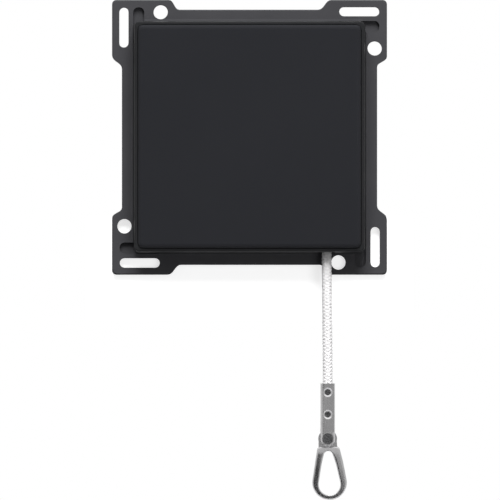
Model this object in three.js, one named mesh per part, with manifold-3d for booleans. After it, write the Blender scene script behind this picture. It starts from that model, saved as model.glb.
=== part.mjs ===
// Flush cord pull switch: a square moulded front with a blank cover plate, a pull lever and
// contacts behind it, and a short braided cord that ends in a clamp and a ring handle.
// Millimetres. X is right, Y runs into the wall and Z is up. The origin is the centre of the
// front's back face, on the wall plane, so everything in front of the wall has negative Y.
import * as THREE from "three";
import { mergeVertices } from "three/addons/utils/BufferGeometryUtils.js";
import Module from "manifold-3d";

// Clearances
const GAP = 0.3; // between pieces that rest on or in each other
const RUN_GAP = 0.2; // round a spindle or in a tapped hole
const MERGE = 0.2; // how far two moulded forms run into each other to become one piece

// Flange with its four corner tabs
const FLANGE_HALF = 28.6;
const FLANGE_THICK = 1.6;
const FLANGE_CHAMFER = 0.25;
const EDGE_RECESS = 2.05; // how far the edge between two tabs stands back
const TAB_RADIUS = 0.9;
const SLOT_TAB = 11.5; // straight run of a tab beside its slot
const SLOT_BLEND = 2.9;
const HOLE_TAB = 11.8; // straight run of a tab beside its round hole
const HOLE_BLEND = 2.2;
const SLOT_LENGTH = 8.35;
const SLOT_WIDTH = 1.95;
const SLOT_RADIUS = 0.95;
const SLOT_ALONG = 22.85; // slot centre along its edge, from the middle of the flange
const SLOT_IN = 2.45; // slot centre in from the tab's edge
const HOLE_RADIUS = 1.5;
const HOLE_ALONG = 18.5;
const HOLE_IN = 2.55;
const GROOVE_WIDTH = 2.3;
const GROOVE_RADIUS = 1.0;
const GROOVE_IN = 5.55;
const GROOVE_DEPTH = 1.0;
const GROOVE_NOTCH = 0.8; // how far a groove bites into the block's wall
const GROOVE_NOTCH_RISE = 1.0;

// Raised block that carries the cover plate
const BLOCK_FOOT = 24.1;
const BLOCK_FILLET = 0.5;
const BLOCK_DRAFT = 0.4; // how much a wall leans in from foot to rim
const BLOCK_CORNER = 1.2;
const RIM_HEIGHT = 8.2; // rim in front of the wall plane
const RIM_ROUND = 0.3;
const BLOCK_WALL = 2.1;
const BAY_HALF_X = 18.0; // opening through the flange in the middle of the block
const BAY_HALF_Z = 13.6;
const BAY_CORNER = 2.0;

// Cover plate
const PLATE_HALF = 22.85;
const PLATE_THICK = 1.6;
const PLATE_PROUD = 0.8; // how far the plate stands out of the rim
const PLATE_CORNER = 1.0;
const PLATE_ROUND = 0.8;
const HOOK_Z = 10.0;
const HOOK_WIDTH = 6.0;
const HOOK_THICK = 1.0;
const HOOK_BARB = 0.55;
const HOOK_BARB_LENGTH = 1.3;
const CATCH_DEPTH = 0.55;
const CATCH_THICK = 1.0;
const CATCH_HEIGHT = 4.0; // back of the catch in front of the wall plane

// Cord, its knot and its way out of the block
const CORD_X = 16.0;
const CORD_Y = -4.2;
const CORD_RADIUS = 1.05;
const CORD_DRIFT = 0.2; // sideways shift of the hanging end
const PORT_RADIUS = 1.7;
const KNOT_RADIUS = 2.0;
const KNOT_HEIGHT = 4.4;

// Pull lever, tilted up at rest
const LEVER_REST_DEG = 10;
const ARM_HEIGHT = 3.0;
const ARM_THICK = 2.4;
const EYE_SLACK = 0.7; // room for the cord along the arm
const EYE_GAP = 0.35; // room for the cord across the arm
const EYE_WALL_X = 1.2;
const EYE_WALL_Y = 0.9;
const HUB_RADIUS = 4.4;
const HUB_FRONT = 6.2; // hub's face in front of the wall plane
const SPINDLE_RADIUS = 2.4;
const SPINDLE_FLAT = 1.9;

// Insert: bearing plate and housing behind the wall plane
const BEARING_THICK = 2.0;
const HOUSING_HALF = 19.6;
const HOUSING_WALL = 1.6;
const HOUSING_DEPTH = 21.0;
const HOUSING_CHAMFER = 4.5;
const BOSS_X = 6.0;
const BOSS_IN = 1.6; // boss centre in from the housing's inner wall
const BOSS_HALF = 2.4;
const SCREW_RADIUS = 1.2;
const SCREW_HEAD_RADIUS = 2.2;
const SCREW_HEAD_HEIGHT = 1.4;
const SCREW_LENGTH = 10.0;
const WIRE_ENTRY_HALF = 2.5;
const WIRE_ENTRY_CORNER = 0.5;

// Return spring and its shelf
const SPRING_X = 9.5;
const SPRING_RADIUS = 1.5;
const SPRING_WIRE = 0.3;
const SPRING_TURNS = 5;
const SHELF_TOP = -10.0;
const SHELF_THICK = 1.6;
const SHELF_PIN_HEIGHT = 1.6;

// Cam and contacts
const CAM_RADIUS = 3.9;
const CAM_LENGTH = 5.3;
const LOBE_REACH = 4.8;
const LOBE_RADIUS = 1.2;
const LOBE_DEG = -30;
const CONTACT_FRONT = 4.6; // front edge of the contact strips behind the wall plane
const CONTACT_WIDTH = 3.0;
const BLADE_THICK = 0.5;
const BLADE_BEYOND = 1.7; // blade's end beyond the middle of its tip
const BLADE_CLAMP = 4.6;
const BLADE_CLOSE = 1.7; // how far the moving tip comes down when the cord is pulled
const TIP_IN = 4.1; // from the middle of the right terminal to the tips
const TIP_RADIUS = 1.1;
const TIP_HEIGHT = 0.8;
const FIXED_THICK = 0.8;
const FIXED_BEYOND = 2.1; // fixed strip's end beyond the middle of its tip
const RIVET_RADIUS = 0.8;
const RIVET_HEAD_RADIUS = 1.4;
const RIVET_HEAD_HEIGHT = 0.6;
const RIVET_DEPTH = 1.2;
const TERMINAL_HALF = 2.8;
const TERMINAL_ROOM = 2.2; // between a terminal's side and the housing's inner wall
const TERMINAL_UNDER = 2.7; // between the lower terminal and the housing's inner wall
const TERMINAL_FRONT = 4.2;
const TERMINAL_LENGTH = 7.6;
const TERMINAL_SCREW_SHARE = 0.58; // screw's place, as a share of the height from the top
const TERMINAL_SCREW_LENGTH = 5.2;
const WIRE_BORE_RADIUS = 1.2;

// Clamp at the end of the cord
const CLAMP_TOP = -51.1;
const CLAMP_HALF_X = 1.5;
const CLAMP_HALF_Y = 1.8;
const CLAMP_EDGE = 0.5;
const CLAMP_BORE = 1.25;
const CLAMP_BORE_DEPTH = 8.2;
const CLAMP_SCREW_DROPS = [1.8, 6.4]; // below the clamp's top edge
const CLAMP_SCREW_RADIUS = 0.75;
const CLAMP_SCREW_SUNK = 0.3;
const SEAM_OFFSET = 0.42; // left of the clamp's middle
const SEAM_STEP = 0.12; // how far the sheet right of the seam stands back
const PIVOT_DROP = 11.5; // pivot below the clamp's top edge
const PIVOT_RADIUS = 0.6;
const PIVOT_HEAD_RADIUS = 1.1;
const PIVOT_HEAD_HEIGHT = 0.35;

// Ring handle, measured from its pivot
const RING_LEAN_DEG = 2.4;
const RING_THICK = 1.7;
const RING_ROUND = 0.5;
const RING_NECK_DROP = 1.2;
const RING_SHOULDER_HALF = 2.4;
const RING_SHOULDER_DROP = 2.4;
const RING_SHOULDER_ROUND = 0.7; // how far up the neck the shoulder begins
const RING_BOW_RADIUS = 3.6;
const RING_BOW_DROP = 9.15;
const RING_HOLE_TOP_RADIUS = 1.0;
const RING_HOLE_TOP_DROP = 3.55;
const RING_HOLE_BOW_RADIUS = 2.25;
const RING_HOLE_BOW_DROP = 9.45;
const RING_EASE = 0.15; // how long a side keeps upright above the bow, as a share of the side
const TONGUE_RADIUS = 1.95;
const TONGUE_THICK = 1.0;

// Facets
const CORNER_STEPS = 4;
const ROUND_STEPS = 24;
const SMALL_STEPS = 16;
const BOW_STEPS = 18;
const CORD_SIDES = 8;
const CORD_STEPS = 16;
const WIRE_SIDES = 6;
const COIL_STEPS = 14; // for each turn of the spring
const KNOT_STEPS = 5;

// Places that follow from the sizes above
const PLATE_SEAT = RIM_HEIGHT + PLATE_PROUD - PLATE_THICK;
const BLOCK_RIM = BLOCK_FOOT - BLOCK_DRAFT;
const BLOCK_CAVITY = BLOCK_FOOT - BLOCK_WALL;
const BEARING_RADIUS = SPINDLE_RADIUS + RUN_GAP;
const HOUSING_INNER = HOUSING_HALF - HOUSING_WALL;
const HOUSING_INNER_CHAMFER = HOUSING_CHAMFER - HOUSING_WALL * (2 - Math.SQRT2);
const BOSS_Z = HOUSING_INNER - BOSS_IN;
const TERMINAL_X = HOUSING_INNER - TERMINAL_ROOM - TERMINAL_HALF;
const TIP_X = TERMINAL_X - TIP_IN;
const BLADE_RIGHT = TIP_X + BLADE_BEYOND;
const FIXED_LEFT = TIP_X - FIXED_BEYOND;
const SCREW_HOLE_RADIUS = SCREW_RADIUS + GAP;
const CAM_FRONT = BEARING_THICK + GAP;
const CAM_BACK = CAM_FRONT + CAM_LENGTH;
const REST = THREE.MathUtils.degToRad(LEVER_REST_DEG);
const EYE_TOP = CORD_X * Math.tan(REST) + ARM_HEIGHT / 2 / Math.cos(REST);
const KNOT_BOTTOM = EYE_TOP + 2 * GAP;
const CORD_TOP = KNOT_BOTTOM - GAP;
const CORD_BOTTOM = CLAMP_TOP - CLAMP_BORE_DEPTH + GAP;
const LOBE_ANGLE = THREE.MathUtils.degToRad(LOBE_DEG);
const BLADE_TOP = LOBE_REACH * Math.sin(LOBE_ANGLE) - LOBE_RADIUS - GAP;
const BLADE_BOTTOM = BLADE_TOP - BLADE_THICK;
const CONTACT_BACK = CONTACT_FRONT + CONTACT_WIDTH;
const CONTACT_MID = CONTACT_FRONT + CONTACT_WIDTH / 2;
const LEFT_TERMINAL_TOP = BLADE_BOTTOM - GAP;
const FIXED_TOP = BLADE_BOTTOM - 2 * TIP_HEIGHT - BLADE_CLOSE - GAP;
const RIGHT_TERMINAL_TOP = FIXED_TOP - FIXED_THICK;
const TERMINAL_HEIGHT = HOUSING_INNER - TERMINAL_UNDER + RIGHT_TERMINAL_TOP;
const TERMINAL_SCREW_DROP = TERMINAL_SCREW_SHARE * TERMINAL_HEIGHT;
const TERMINAL_BACK = TERMINAL_FRONT + TERMINAL_LENGTH;
const WIRE_Y = TERMINAL_FRONT + TERMINAL_LENGTH / 2;
const HANG_X = CORD_X + CORD_DRIFT;
const PIVOT_Z = CLAMP_TOP - PIVOT_DROP;
const FORK_GAP = TONGUE_THICK / 2 + GAP;
const FORK_TOP = PIVOT_Z + TONGUE_RADIUS + GAP;

const wasm = await Module();
wasm.setup();

// Materials
const colours = {
  anthracite: { color: 0x2d2f32, roughness: 0.5, metalness: 0 },
  charcoal: { color: 0x444546, roughness: 0.6, metalness: 0 },
  insulation: { color: 0xd8d6cf, roughness: 0.7, metalness: 0 },
  lever: { color: 0xc9c6bd, roughness: 0.55, metalness: 0 },
  cord: { color: 0xf0eeee, roughness: 0.9, metalness: 0 },
  nickel: { color: 0x9a9a9c, roughness: 0.3, metalness: 1 },
  steel: { color: 0x8a8c90, roughness: 0.35, metalness: 1 },
  darkSteel: { color: 0x3c3c3e, roughness: 0.4, metalness: 1 },
  brass: { color: 0xc09a50, roughness: 0.35, metalness: 1 },
  silver: { color: 0xc8c8c6, roughness: 0.3, metalness: 1 },
};

// Turns a closed geometry into a solid that can be joined and cut.
function solidOf(geometry) {
  geometry.deleteAttribute("normal");
  geometry.deleteAttribute("uv");
  const merged = mergeVertices(geometry, 1e-4);
  return new wasm.Manifold(
    new wasm.Mesh({
      numProp: 3,
      vertProperties: Float32Array.from(merged.attributes.position.array),
      triVerts: Uint32Array.from(merged.index.array),
    })
  );
}

function geometryOf(solid) {
  const result = solid.getMesh();
  const geometry = new THREE.BufferGeometry();
  geometry.setAttribute("position", new THREE.BufferAttribute(Float32Array.from(result.vertProperties), 3));
  geometry.setIndex(new THREE.BufferAttribute(Uint32Array.from(result.triVerts), 1));
  geometry.computeVertexNormals();
  return geometry;
}

function cutAll(solid, tools) {
  return tools.reduce((rest, tool) => rest.subtract(tool), solid);
}

function joinAll(solids) {
  return solids.reduce((whole, next) => whole.add(next));
}

// Outlines are lists of points, counter-clockwise.
function arc(x, y, radius, startDeg, endDeg, steps) {
  const points = [];
  for (let i = 0; i <= steps; i += 1) {
    const angle = THREE.MathUtils.degToRad(startDeg + ((endDeg - startDeg) * i) / steps);
    points.push(new THREE.Vector2(x + radius * Math.cos(angle), y + radius * Math.sin(angle)));
  }
  return points;
}

function circle(x, y, radius, steps) {
  return arc(x, y, radius, 0, 360, steps).slice(0, steps);
}

function rounded(x, y, halfWidth, halfHeight, radius) {
  const dx = halfWidth - radius;
  const dy = halfHeight - radius;
  return [
    ...arc(x + dx, y + dy, radius, 0, 90, CORNER_STEPS),
    ...arc(x - dx, y + dy, radius, 90, 180, CORNER_STEPS),
    ...arc(x - dx, y - dy, radius, 180, 270, CORNER_STEPS),
    ...arc(x + dx, y - dy, radius, 270, 360, CORNER_STEPS),
  ];
}

function chamferedSquare(half, chamfer) {
  return rounded(0, 0, half, half, chamfer).filter((point, index) => {
    const step = index % (CORNER_STEPS + 1);
    return step === 0 || step === CORNER_STEPS;
  });
}

function box2(left, right, low, high) {
  return [
    new THREE.Vector2(left, low),
    new THREE.Vector2(right, low),
    new THREE.Vector2(right, high),
    new THREE.Vector2(left, high),
  ];
}

function quarterTurned(points, turns) {
  const middle = new THREE.Vector2(0, 0);
  return points.map((point) => point.clone().rotateAround(middle, (turns * Math.PI) / 2));
}

function mirrored(points) {
  return points.map((point) => new THREE.Vector2(-point.x, point.y)).reverse();
}

// Prism of an (x, z) outline, from its back at one y forward to a smaller y.
function alongY(points, yBack, yFront) {
  const shape = new THREE.Shape(points);
  const geometry = new THREE.ExtrudeGeometry(shape, { depth: yBack - yFront, bevelEnabled: false });
  geometry.rotateX(Math.PI / 2);
  geometry.translate(0, yBack, 0);
  return solidOf(geometry);
}

// Prism of an (x, y) outline between two heights.
function alongZ(points, zLow, zHigh) {
  const shape = new THREE.Shape(points);
  const geometry = new THREE.ExtrudeGeometry(shape, { depth: zHigh - zLow, bevelEnabled: false });
  geometry.translate(0, 0, zLow);
  return solidOf(geometry);
}

// Solid through matching (x, z) outlines, listed from back to front.
function skin(layers) {
  const count = layers[0].points.length;
  const positions = layers.flatMap(({ y, points }) => points.flatMap((point) => [point.x, y, point.y]));
  const last = (layers.length - 1) * count;
  const index = [];
  for (const [a, b, c] of THREE.ShapeUtils.triangulateShape(layers[0].points, [])) {
    index.push(a, c, b);
    index.push(last + a, last + b, last + c);
  }
  for (let layer = 0; layer < last; layer += count) {
    for (let i = 0; i < count; i += 1) {
      const next = (i + 1) % count;
      index.push(layer + i, layer + next, layer + count + next);
      index.push(layer + i, layer + count + next, layer + count + i);
    }
  }
  const geometry = new THREE.BufferGeometry();
  geometry.setAttribute("position", new THREE.Float32BufferAttribute(positions, 3));
  geometry.setIndex(index);
  return solidOf(geometry);
}

// Turned solid about the Z axis. The profile is [radius, z] pairs from the bottom to the top.
function turnedUp(profile, steps) {
  const points = profile.map(([radius, z]) => new THREE.Vector2(radius, z));
  const geometry = new THREE.LatheGeometry(points, steps);
  geometry.rotateX(Math.PI / 2);
  return solidOf(geometry);
}

function roundBar(x, z, radius, yFront, yBack, steps) {
  return alongY(circle(x, z, radius, steps), yBack, yFront);
}

const model = new THREE.Group();

function add(name, solid, colour) {
  const mesh = new THREE.Mesh(geometryOf(solid), new THREE.MeshStandardMaterial(colours[colour]));
  mesh.name = name;
  model.add(mesh);
}

// Moulded flange: plate with corner tabs, and the block's walls in one piece with it.
function flangeOutline() {
  const edge = FLANGE_HALF - EDGE_RECESS;
  const holeTab = FLANGE_HALF - HOLE_TAB;
  const slotTab = FLANGE_HALF - SLOT_TAB;
  const rise = new THREE.CubicBezierCurve(
    new THREE.Vector2(edge, holeTab - HOLE_BLEND),
    new THREE.Vector2(edge, holeTab - HOLE_BLEND / 2),
    new THREE.Vector2(FLANGE_HALF, holeTab - HOLE_BLEND / 2),
    new THREE.Vector2(FLANGE_HALF, holeTab)
  );
  const fall = new THREE.CubicBezierCurve(
    new THREE.Vector2(slotTab, FLANGE_HALF),
    new THREE.Vector2(slotTab - SLOT_BLEND / 2, FLANGE_HALF),
    new THREE.Vector2(slotTab - SLOT_BLEND / 2, edge),
    new THREE.Vector2(slotTab - SLOT_BLEND, edge)
  );
  const centre = FLANGE_HALF - TAB_RADIUS;
  const quarter = [
    ...rise.getPoints(2 * CORNER_STEPS),
    ...arc(centre, centre, TAB_RADIUS, 0, 90, CORNER_STEPS),
    ...fall.getPoints(2 * CORNER_STEPS),
  ];
  return [0, 1, 2, 3].flatMap((turns) => quarterTurned(quarter, turns));
}

function cornerCuts(turns) {
  const slotZ = FLANGE_HALF - SLOT_IN;
  const grooveZ = FLANGE_HALF - GROOVE_IN;
  const slot = rounded(SLOT_ALONG, slotZ, SLOT_LENGTH / 2, SLOT_WIDTH / 2, SLOT_RADIUS);
  const hole = circle(FLANGE_HALF - HOLE_IN, HOLE_ALONG, HOLE_RADIUS, ROUND_STEPS);
  const groove = rounded(SLOT_ALONG, grooveZ, SLOT_LENGTH / 2, GROOVE_WIDTH / 2, GROOVE_RADIUS);
  const openGroove = groove.map((point) => new THREE.Vector2(Math.max(point.x, BLOCK_RIM), point.y));
  const notchLeft = SLOT_ALONG - SLOT_LENGTH / 2;
  const notchLow = BLOCK_FOOT - GROOVE_NOTCH;
  const notch = box2(notchLeft, BLOCK_FOOT + BLOCK_FILLET, notchLow, grooveZ + GROOVE_WIDTH / 2);
  const bottom = GROOVE_DEPTH - FLANGE_THICK;
  return [
    alongY(quarterTurned(slot, turns), GAP, -FLANGE_THICK - GAP),
    alongY(quarterTurned(hole, turns), GAP, -FLANGE_THICK - GAP),
    alongY(quarterTurned(openGroove, turns), bottom, -FLANGE_THICK - GROOVE_NOTCH_RISE),
    alongY(quarterTurned(notch, turns), bottom, -FLANGE_THICK - GROOVE_NOTCH_RISE),
  ];
}

function blockWalls() {
  const layers = [{ y: -FLANGE_THICK + MERGE, points: blockLoop(BLOCK_FOOT + BLOCK_FILLET) }];
  for (let i = 0; i <= CORNER_STEPS; i += 1) {
    const angle = ((Math.PI / 2) * i) / CORNER_STEPS;
    layers.push({
      y: -FLANGE_THICK - BLOCK_FILLET * (1 - Math.cos(angle)),
      points: blockLoop(BLOCK_FOOT + BLOCK_FILLET * (1 - Math.sin(angle))),
    });
  }
  for (let i = 0; i <= CORNER_STEPS; i += 1) {
    const angle = ((Math.PI / 2) * i) / CORNER_STEPS;
    layers.push({
      y: -RIM_HEIGHT + RIM_ROUND * (1 - Math.sin(angle)),
      points: blockLoop(BLOCK_RIM - RIM_ROUND * (1 - Math.cos(angle))),
    });
  }
  return skin(layers);
}

function blockLoop(half) {
  return rounded(0, 0, half, half, BLOCK_CORNER + half - BLOCK_FOOT);
}

function catchRib(side, end) {
  const inner = BLOCK_CAVITY - CATCH_DEPTH;
  const outline = box2(inner, BLOCK_CAVITY + MERGE, -CATCH_HEIGHT - CATCH_THICK, -CATCH_HEIGHT);
  const turnedOutline = side > 0 ? outline : mirrored(outline);
  const middle = end * HOOK_Z;
  return alongZ(turnedOutline, middle - HOOK_WIDTH / 2, middle + HOOK_WIDTH / 2);
}

function cordPort() {
  const outline = [
    new THREE.Vector2(CORD_X + PORT_RADIUS, -FLANGE_THICK),
    new THREE.Vector2(CORD_X - PORT_RADIUS, -FLANGE_THICK),
    ...arc(CORD_X, CORD_Y, PORT_RADIUS, 180, 360, 2 * CORNER_STEPS),
  ];
  return alongZ(outline, -BLOCK_FOOT - 2 * BLOCK_FILLET, -BLOCK_CAVITY + MERGE);
}

function mountingFlange() {
  const outline = flangeOutline();
  const shrink = 1 - FLANGE_CHAMFER / FLANGE_HALF;
  const small = outline.map((point) => point.clone().multiplyScalar(shrink));
  const plate = skin([
    { y: 0, points: outline },
    { y: FLANGE_CHAMFER - FLANGE_THICK, points: outline },
    { y: -FLANGE_THICK, points: small },
  ]);
  const seat = PLATE_HALF + GAP;
  const screwHoles = [];
  for (const x of [-BOSS_X, BOSS_X]) {
    for (const z of [-BOSS_Z, BOSS_Z]) {
      screwHoles.push(roundBar(x, z, SCREW_HOLE_RADIUS, -FLANGE_THICK - GAP, GAP, SMALL_STEPS));
    }
  }
  const cavity = rounded(0, 0, BLOCK_CAVITY, BLOCK_CAVITY, BLOCK_CORNER / 2);
  const shell = cutAll(plate.add(blockWalls()), [
    alongY(cavity, -FLANGE_THICK, -RIM_HEIGHT - GAP),
    alongY(rounded(0, 0, seat, seat, PLATE_CORNER + GAP), -PLATE_SEAT, -RIM_HEIGHT - GAP),
    alongY(rounded(0, 0, BAY_HALF_X, BAY_HALF_Z, BAY_CORNER), GAP, -FLANGE_THICK - GAP),
    ...[0, 1, 2, 3].flatMap(cornerCuts),
    ...screwHoles,
    cordPort(),
  ]);
  return joinAll([shell, catchRib(-1, -1), catchRib(-1, 1), catchRib(1, -1), catchRib(1, 1)]);
}

// Blank cover plate with rounded front edges and four snap hooks.
function snapHook(side, end) {
  const outer = BLOCK_CAVITY - CATCH_DEPTH - GAP;
  const inner = outer - HOOK_THICK;
  const barbY = -CATCH_HEIGHT + GAP;
  const profile = [
    new THREE.Vector2(inner, -PLATE_SEAT - MERGE),
    new THREE.Vector2(outer, -PLATE_SEAT - MERGE),
    new THREE.Vector2(outer, barbY),
    new THREE.Vector2(outer + HOOK_BARB, barbY),
    new THREE.Vector2(outer, barbY + HOOK_BARB_LENGTH),
    new THREE.Vector2(inner, barbY + HOOK_BARB_LENGTH),
  ];
  const placed = side > 0 ? profile : mirrored(profile);
  const middle = end * HOOK_Z;
  return alongZ(placed, middle - HOOK_WIDTH / 2, middle + HOOK_WIDTH / 2);
}

function coverPlate() {
  const front = -RIM_HEIGHT - PLATE_PROUD;
  const layers = [{ y: -PLATE_SEAT, points: rounded(0, 0, PLATE_HALF, PLATE_HALF, PLATE_CORNER) }];
  for (let i = 0; i <= CORNER_STEPS; i += 1) {
    const angle = ((Math.PI / 2) * i) / CORNER_STEPS;
    const inset = PLATE_ROUND * (1 - Math.cos(angle));
    const half = PLATE_HALF - inset;
    layers.push({
      y: front + PLATE_ROUND * (1 - Math.sin(angle)),
      points: rounded(0, 0, half, half, PLATE_CORNER - inset),
    });
  }
  return joinAll([skin(layers), snapHook(-1, -1), snapHook(-1, 1), snapHook(1, -1), snapHook(1, 1)]);
}

// Housing box with screw bosses, terminal seats and two wire entries.
function switchHousing() {
  const shell = alongY(chamferedSquare(HOUSING_HALF, HOUSING_CHAMFER), HOUSING_DEPTH, 0);
  const floor = HOUSING_DEPTH - HOUSING_WALL;
  const hollow = alongY(chamferedSquare(HOUSING_INNER, HOUSING_INNER_CHAMFER), floor, -GAP);
  const bosses = [];
  const bores = [];
  for (const x of [-BOSS_X, BOSS_X]) {
    for (const end of [-1, 1]) {
      const edges = [end * (BOSS_Z - BOSS_HALF), end * (HOUSING_INNER + MERGE)].sort((a, b) => a - b);
      bosses.push(alongY(box2(x - BOSS_HALF, x + BOSS_HALF, ...edges), floor + MERGE, BEARING_THICK));
      bores.push(roundBar(x, end * BOSS_Z, SCREW_HOLE_RADIUS, 0, SCREW_LENGTH, SMALL_STEPS));
    }
  }
  const seats = [
    [-TERMINAL_X, LEFT_TERMINAL_TOP],
    [TERMINAL_X, RIGHT_TERMINAL_TOP],
  ].map(([x, top]) => {
    const outline = box2(x - TERMINAL_HALF, x + TERMINAL_HALF, top - TERMINAL_HEIGHT, top);
    return alongY(outline, floor + MERGE, TERMINAL_BACK + GAP);
  });
  const entries = [-TERMINAL_X, TERMINAL_X].map((x) =>
    alongZ(
      rounded(x, WIRE_Y, WIRE_ENTRY_HALF, WIRE_ENTRY_HALF, WIRE_ENTRY_CORNER),
      -HOUSING_HALF - GAP,
      -HOUSING_INNER + GAP
    )
  );
  return cutAll(joinAll([shell.subtract(hollow), ...bosses, ...seats]), [...bores, ...entries]);
}

// Bearing plate that closes the housing, with the shelf that carries the return spring.
function bearingPlate() {
  const half = HOUSING_INNER - GAP;
  const plate = alongY(chamferedSquare(half, HOUSING_INNER_CHAMFER), BEARING_THICK, 0);
  const reach = SPRING_RADIUS + SPRING_WIRE + GAP;
  const shelfLow = SHELF_TOP - SHELF_THICK;
  const shelf = alongY(box2(SPRING_X - reach, SPRING_X + reach, shelfLow, SHELF_TOP), MERGE, CORD_Y - reach);
  const pinRadius = SPRING_RADIUS - SPRING_WIRE - GAP;
  const pinOutline = circle(SPRING_X, CORD_Y, pinRadius, SMALL_STEPS);
  const pin = alongZ(pinOutline, SHELF_TOP - MERGE, SHELF_TOP + SHELF_PIN_HEIGHT);
  const holes = [roundBar(0, 0, BEARING_RADIUS, -GAP, BEARING_THICK + GAP, ROUND_STEPS)];
  for (const x of [-BOSS_X, BOSS_X]) {
    for (const z of [-BOSS_Z, BOSS_Z]) {
      holes.push(roundBar(x, z, SCREW_HOLE_RADIUS, -GAP, BEARING_THICK + GAP, SMALL_STEPS));
    }
  }
  for (const [x, top] of [
    [-TERMINAL_X, LEFT_TERMINAL_TOP],
    [TERMINAL_X, RIGHT_TERMINAL_TOP],
  ]) {
    const radius = SCREW_HEAD_RADIUS + GAP;
    holes.push(roundBar(x, top - TERMINAL_SCREW_DROP, radius, -GAP, BEARING_THICK + GAP, SMALL_STEPS));
  }
  return cutAll(joinAll([plate, shelf, pin]), holes);
}

// Pull lever: eye for the cord, arm, hub and the spindle that turns the cam.
function leverAndSpindle() {
  const eyeHalfX = CORD_RADIUS + EYE_SLACK;
  const eyeHalfY = CORD_RADIUS + EYE_GAP;
  const half = ARM_HEIGHT / 2;
  const eyeX = CORD_X / Math.cos(REST) - (CORD_X * (1 - Math.cos(REST))) / 2;
  const outer = rounded(eyeX, CORD_Y, eyeHalfX + EYE_WALL_X, eyeHalfY + EYE_WALL_Y, eyeHalfY);
  const inner = rounded(eyeX, CORD_Y, eyeHalfX, eyeHalfY, eyeHalfY);
  const arm = alongY(box2(0, eyeX - eyeHalfX - MERGE, -half, half), CORD_Y + ARM_THICK / 2, CORD_Y - ARM_THICK / 2);
  const hub = roundBar(0, 0, HUB_RADIUS, -HUB_FRONT, -GAP, ROUND_STEPS);
  const eye = alongZ(outer, -half, half).subtract(alongZ(inner, -ARM_HEIGHT, ARM_HEIGHT));
  const swing = joinAll([arm, hub, eye]).rotate([0, -LEVER_REST_DEG, 0]);
  const shaft = roundBar(0, 0, SPINDLE_RADIUS, -GAP - MERGE, CAM_BACK + GAP, ROUND_STEPS);
  const flatted = alongY(spindleSection(0), CAM_BACK + GAP, CAM_FRONT - MERGE);
  const keep = alongY(circle(0, 0, 2 * SPINDLE_RADIUS, SMALL_STEPS), CAM_FRONT, -HUB_FRONT);
  const spindle = shaft.intersect(joinAll([keep, flatted]));
  const screwBore = roundBar(0, 0, SCREW_RADIUS, BEARING_THICK, CAM_BACK + 2 * GAP, SMALL_STEPS);
  return joinAll([swing, spindle]).subtract(screwBore);
}

// Round section with two flats, grown by a clearance.
function spindleSection(grow) {
  const radius = SPINDLE_RADIUS + grow;
  const flat = SPINDLE_FLAT + grow;
  return circle(0, 0, radius, ROUND_STEPS).map(
    (point) => new THREE.Vector2(point.x, THREE.MathUtils.clamp(point.y, -flat, flat))
  );
}

function switchingCam() {
  const lobeX = LOBE_REACH * Math.cos(LOBE_ANGLE);
  const lobeZ = LOBE_REACH * Math.sin(LOBE_ANGLE);
  const startDeg = LOBE_DEG - 90;
  const lobe = [
    ...arc(0, 0, LOBE_RADIUS, startDeg + 180, startDeg + 360, 2 * CORNER_STEPS),
    ...arc(lobeX, lobeZ, LOBE_RADIUS, startDeg, startDeg + 180, 2 * CORNER_STEPS),
  ];
  const body = joinAll([
    roundBar(0, 0, CAM_RADIUS, CAM_FRONT, CAM_BACK, ROUND_STEPS),
    alongY(lobe, CAM_BACK, CAM_FRONT),
  ]);
  return body.subtract(alongY(spindleSection(RUN_GAP), CAM_BACK + GAP, CAM_FRONT - GAP));
}

// Pan-head screw along Y, with its head at the front end or the back end.
function screw(x, z, seatY, length, shankRadius, direction) {
  const head = [seatY - direction * SCREW_HEAD_HEIGHT, seatY].sort((a, b) => a - b);
  const shank = [seatY - direction * MERGE, seatY + direction * length].sort((a, b) => a - b);
  const headBar = roundBar(x, z, SCREW_HEAD_RADIUS, head[0], head[1], ROUND_STEPS);
  const slotMiddle = seatY - direction * SCREW_HEAD_HEIGHT;
  const slotHalf = SCREW_HEAD_HEIGHT / 2;
  const slotOutline = box2(x - SCREW_HEAD_RADIUS - GAP, x + SCREW_HEAD_RADIUS + GAP, z - GAP, z + GAP);
  const slot = alongY(slotOutline, slotMiddle + slotHalf, slotMiddle - slotHalf);
  return headBar.add(roundBar(x, z, shankRadius, shank[0], shank[1], SMALL_STEPS)).subtract(slot);
}

// Compression spring between the shelf and the underside of the arm.
class Helix extends THREE.Curve {
  constructor(low, high) {
    super();
    this.low = low;
    this.high = high;
  }
  getPoint(t) {
    const angle = 2 * Math.PI * SPRING_TURNS * t;
    const x = SPRING_X + SPRING_RADIUS * Math.cos(angle);
    const y = CORD_Y + SPRING_RADIUS * Math.sin(angle);
    return new THREE.Vector3(x, y, THREE.MathUtils.lerp(this.low, this.high, t));
  }
}

function returnSpring() {
  const near = SPRING_X - SPRING_RADIUS - SPRING_WIRE;
  const underside = near * Math.tan(REST) - ARM_HEIGHT / 2 / Math.cos(REST);
  const low = SHELF_TOP + SPRING_WIRE + GAP;
  const high = underside - SPRING_WIRE - GAP;
  return sweep(circle(0, 0, SPRING_WIRE, WIRE_SIDES), new Helix(low, high), SPRING_TURNS * COIL_STEPS);
}

function sweep(points, path, steps) {
  const shape = new THREE.Shape(points);
  const settings = { extrudePath: path, steps, bevelEnabled: false };
  return solidOf(new THREE.ExtrudeGeometry(shape, settings));
}

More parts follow.
